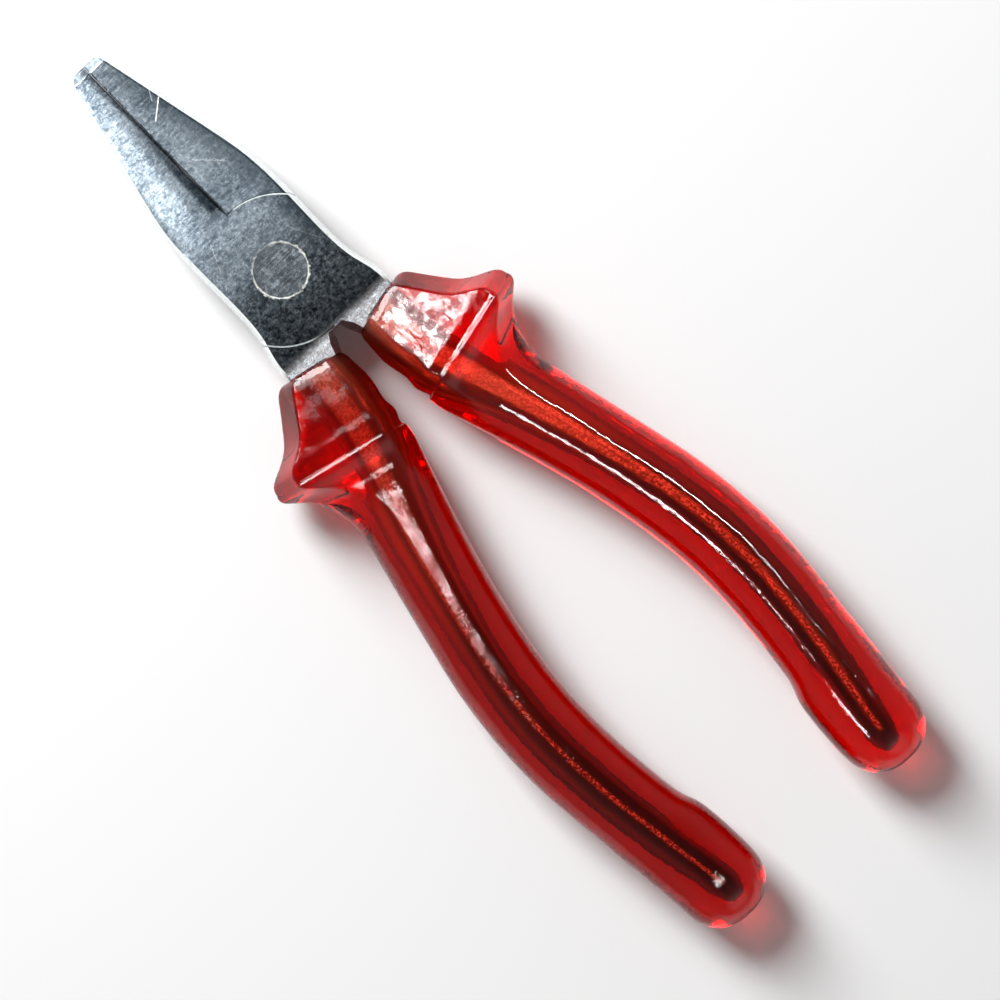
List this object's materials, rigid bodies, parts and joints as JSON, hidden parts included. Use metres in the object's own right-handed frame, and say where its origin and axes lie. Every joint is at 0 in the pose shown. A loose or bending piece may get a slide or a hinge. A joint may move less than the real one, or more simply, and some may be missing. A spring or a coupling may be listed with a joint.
{
  "type": "flat nose pliers",
  "caption": "Lap-joint hand pliers with long tapering flat jaws, a flush rivet and clear red moulded handle grips.",
  "frame": {"origin": "rivet axis at the joint's lower face", "axes": "+Y towards the jaw tips, +X towards the upper half's handle, +Z along the rivet towards the upper half's plate"},
  "size_m": [0.0528, 0.1599, 0.0154],
  "materials": {
    "ground_steel": "bright plated forging, belt ground across the jaws",
    "rivet_steel": "ground flush with the joint",
    "clear_red_plastic": "deep transparent red, glossy"
  },
  "bodies": {
    "lower": {"lower_half": "ground_steel", "pivot_rivet": "rivet_steel", "lower_grip": "clear_red_plastic"},
    "upper": {"upper_half": "ground_steel", "upper_grip": "clear_red_plastic"}
  },
  "joints": [
    {"name": "jaw_pivot", "type": "hinge", "parent": "lower", "child": "upper", "pos_m": [0, 0, 0.0048], "axis": [0, 0, 1], "range_deg": [0, 45]}
  ]
}
